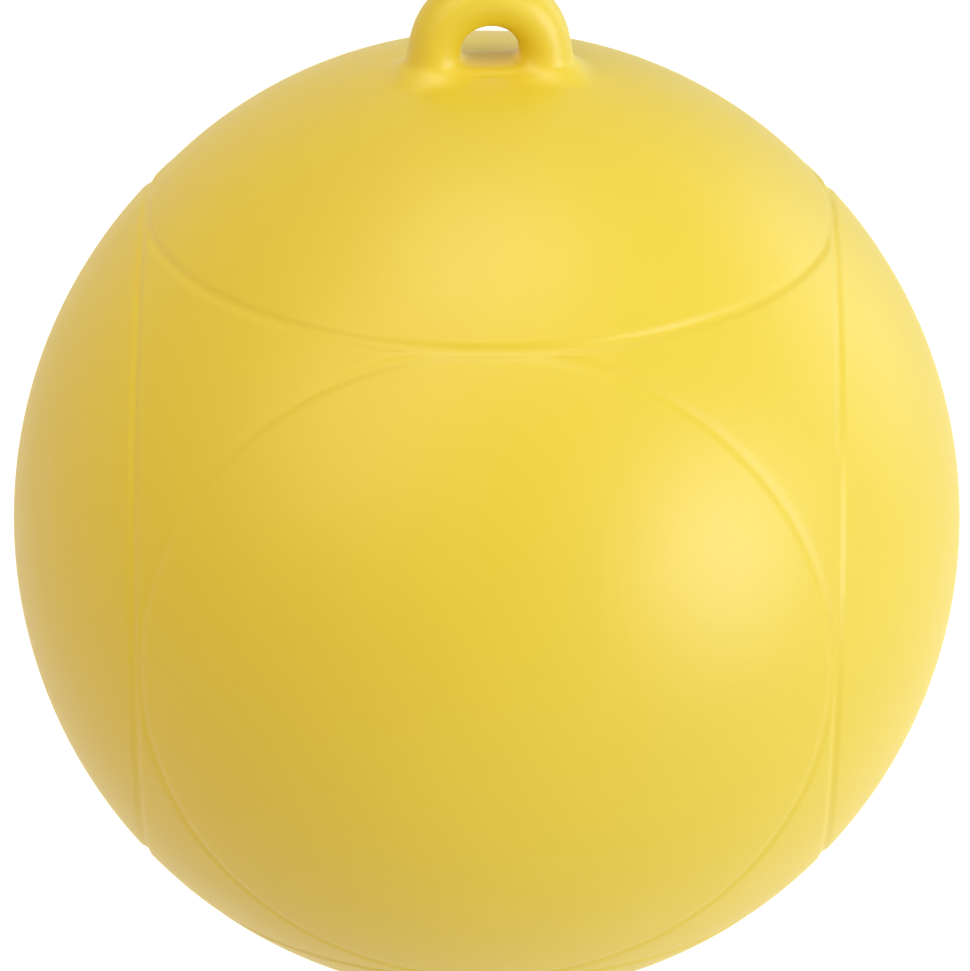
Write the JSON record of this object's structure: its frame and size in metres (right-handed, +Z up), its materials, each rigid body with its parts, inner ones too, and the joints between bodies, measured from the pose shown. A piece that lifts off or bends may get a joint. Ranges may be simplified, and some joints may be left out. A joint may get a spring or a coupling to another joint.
{
  "type": "slalom buoy",
  "caption": "Hollow soft-vinyl ball with ring grooves, a moulded rope eye on its crown and a screw valve with its seal on the back shoulder.",
  "frame": {"origin": "middle of the hole in the rope eye, on the ball's vertical axis", "axes": "+Z up along the ball's axis through the crown, -Y towards the front, the valve on the +Y side"},
  "size_m": [0.203, 0.203, 0.2284],
  "materials": {
    "vinyl": "soft satin vinyl, yellow",
    "nylon": "moulded, natural white",
    "seal_rubber": "black, dull"
  },
  "bodies": {
    "ball": {"ball_shell": "vinyl", "rope_eye": "vinyl", "valve_seat": "nylon"},
    "seal": {"valve_seal": "seal_rubber"},
    "plug": {"valve_plug": "nylon"}
  },
  "joints": [
    {"name": "plug_rise", "type": "slide", "parent": "ball", "child": "seal", "axis": [0, 0.6018, 0.7986], "range_m": [0, 0.00525]},
    {"name": "plug_turn", "type": "hinge", "parent": "seal", "child": "plug", "pos_m": [0, 0.05778, -0.02443], "axis": [0, 0.6018, 0.7986], "range_deg": [0, 1260]}
  ],
  "couplings": [
    {"joint": "plug_turn", "follows": "plug_rise", "rad_per_m": 4188.8}
  ]
}
